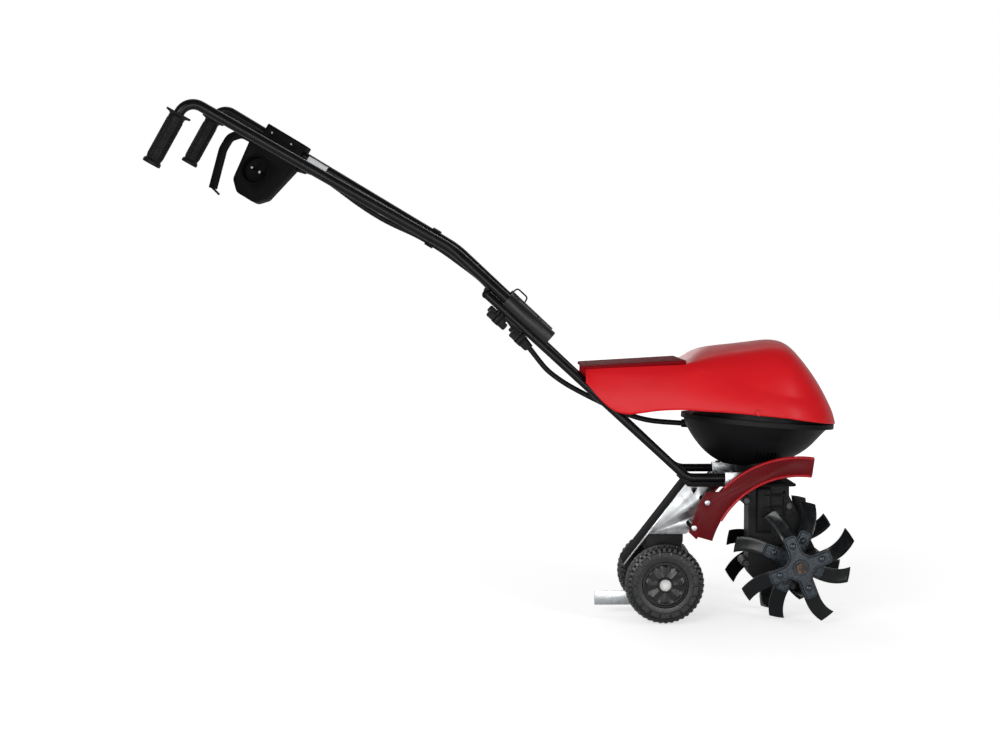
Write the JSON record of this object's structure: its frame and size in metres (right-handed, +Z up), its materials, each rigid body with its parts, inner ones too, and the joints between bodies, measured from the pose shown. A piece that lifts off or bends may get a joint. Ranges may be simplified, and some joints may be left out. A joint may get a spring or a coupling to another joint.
{
  "type": "electric tiller",
  "caption": "Walk-behind electric garden tiller with curved tines on a driven shaft, red bonnet and mudguard, transport wheels, and a two-bar handle with a switch box.",
  "frame": {"origin": "on the ground, under the middle of the machine's bounding box", "axes": "+X forwards over the tines, +Y to the operator's left, +Z up"},
  "size_m": [1.31, 0.518, 0.9963],
  "materials": {
    "red_plastic": "gloss",
    "red_paint": "gloss",
    "black_plastic": "satin",
    "black_paint": "gloss",
    "galvanised": "satin",
    "white_cap": "satin",
    "tine_steel": "satin",
    "star_steel": "satin",
    "shaft_steel": "satin",
    "bronze": "satin",
    "copper": "satin",
    "core_steel": "satin",
    "case_alloy": "cast",
    "grip_rubber": "matte",
    "cable_rubber": "matte",
    "tyre_rubber": "matte",
    "pin_metal": "bright",
    "button_plastic": "gloss"
  },
  "bodies": {
    "chassis": {"gear_case_right": "case_alloy", "gear_case_left": "case_alloy", "ball_bearings": "core_steel", "shaft_seals": "cable_rubber", "motor_stator": "core_steel", "stator_windings": "copper", "motor_housing": "case_alloy", "frame_tube_right": "black_paint", "handlebar_right": "black_paint", "grip_right": "grip_rubber", "frame_tube_left": "black_paint", "handlebar_left": "black_paint", "grip_left": "grip_rubber", "clamp_sleeves": "black_plastic", "cable_hook": "galvanised", "tube_caps": "black_plastic", "handle_bolts": "galvanised", "chassis_plate": "galvanised", "frame_saddles": "galvanised", "hex_bolts": "galvanised", "motor_base": "black_plastic", "bonnet": "red_plastic", "mudguard": "red_paint", "cover_screws": "galvanised", "wheel_bracket": "galvanised", "axle_carrier": "black_plastic", "foot_spur": "galvanised", "wheel_axle": "galvanised", "axle_caps": "white_cap", "switch_box": "black_plastic", "switch_cover": "black_plastic", "switch_block": "black_plastic", "inlet_pins": "pin_metal", "lever_pin": "galvanised", "switch_bracket": "black_plastic", "switch_screws": "galvanised", "motor_cable_upper": "cable_rubber", "motor_cable_lower": "cable_rubber", "cable_fittings": "cable_rubber", "cable_clip": "black_plastic"},
    "tines": {"tine_shaft": "shaft_steel", "worm_wheel": "bronze", "tine_hubs": "star_steel", "tine_blades": "tine_steel", "tine_rivets": "tine_steel", "tine_pins": "shaft_steel"},
    "rotor": {"worm_shaft": "core_steel", "rotor_core": "core_steel", "cooling_fan": "black_plastic"},
    "right_wheel": {"wheel_hub_right": "black_plastic", "tyre_right": "tyre_rubber"},
    "left_wheel": {"wheel_hub_left": "black_plastic", "tyre_left": "tyre_rubber"},
    "lever": {"switch_lever": "black_plastic"},
    "button": {"lock_button": "button_plastic"},
    "wing_knob_right_low": {"wing_knob_right_low": "black_plastic"},
    "wing_knob_right_high": {"wing_knob_right_high": "black_plastic"},
    "wing_knob_left_low": {"wing_knob_left_low": "black_plastic"},
    "wing_knob_left_high": {"wing_knob_left_high": "black_plastic"}
  },
  "joints": [
    {"name": "tine_spin", "type": "hinge", "parent": "chassis", "child": "tines", "pos_m": [0.54174, 0, 0.114], "axis": [0, 1, 0], "continuous": true},
    {"name": "motor_spin", "type": "hinge", "parent": "chassis", "child": "rotor", "pos_m": [0.48674, 0, 0.348], "axis": [0, 0, 1], "continuous": true},
    {"name": "right_wheel_spin", "type": "hinge", "parent": "chassis", "child": "right_wheel", "pos_m": [0.29374, -0.09, 0.075], "axis": [0, 1, 0], "continuous": true},
    {"name": "left_wheel_spin", "type": "hinge", "parent": "chassis", "child": "left_wheel", "pos_m": [0.29374, 0.09, 0.075], "axis": [0, 1, 0], "continuous": true},
    {"name": "lever_squeeze", "type": "hinge", "parent": "chassis", "child": "lever", "pos_m": [-0.51003, 0.21212, 0.92984], "axis": [0.2083, 0.9699, -0.126], "range_deg": [0, 8], "stiffness_Nm_per_rad": 2, "springref_deg": -5.73},
    {"name": "button_press", "type": "slide", "parent": "chassis", "child": "button", "axis": [-0.2083, -0.9699, 0.126], "range_m": [0, 0.004], "stiffness_N_per_m": 400, "springref_m": -0.003},
    {"name": "wing_knob_right_low_turn", "type": "hinge", "parent": "chassis", "child": "wing_knob_right_low", "pos_m": [0.029, -0.095, 0.54477], "axis": [-0.6756, 0, -0.7373], "continuous": true},
    {"name": "wing_knob_right_high_turn", "type": "hinge", "parent": "chassis", "child": "wing_knob_right_high", "pos_m": [-0.01303, -0.095, 0.58328], "axis": [-0.6756, 0, -0.7373], "continuous": true},
    {"name": "wing_knob_left_low_turn", "type": "hinge", "parent": "chassis", "child": "wing_knob_left_low", "pos_m": [0.03259, 0.095, 0.5488], "axis": [-0.6853, 0, -0.7283], "continuous": true},
    {"name": "wing_knob_left_high_turn", "type": "hinge", "parent": "chassis", "child": "wing_knob_left_high", "pos_m": [-0.00892, 0.095, 0.58787], "axis": [-0.6853, 0, -0.7283], "continuous": true}
  ],
  "couplings": [
    {"joint": "motor_spin", "follows": "tine_spin", "ratio": -20}
  ]
}
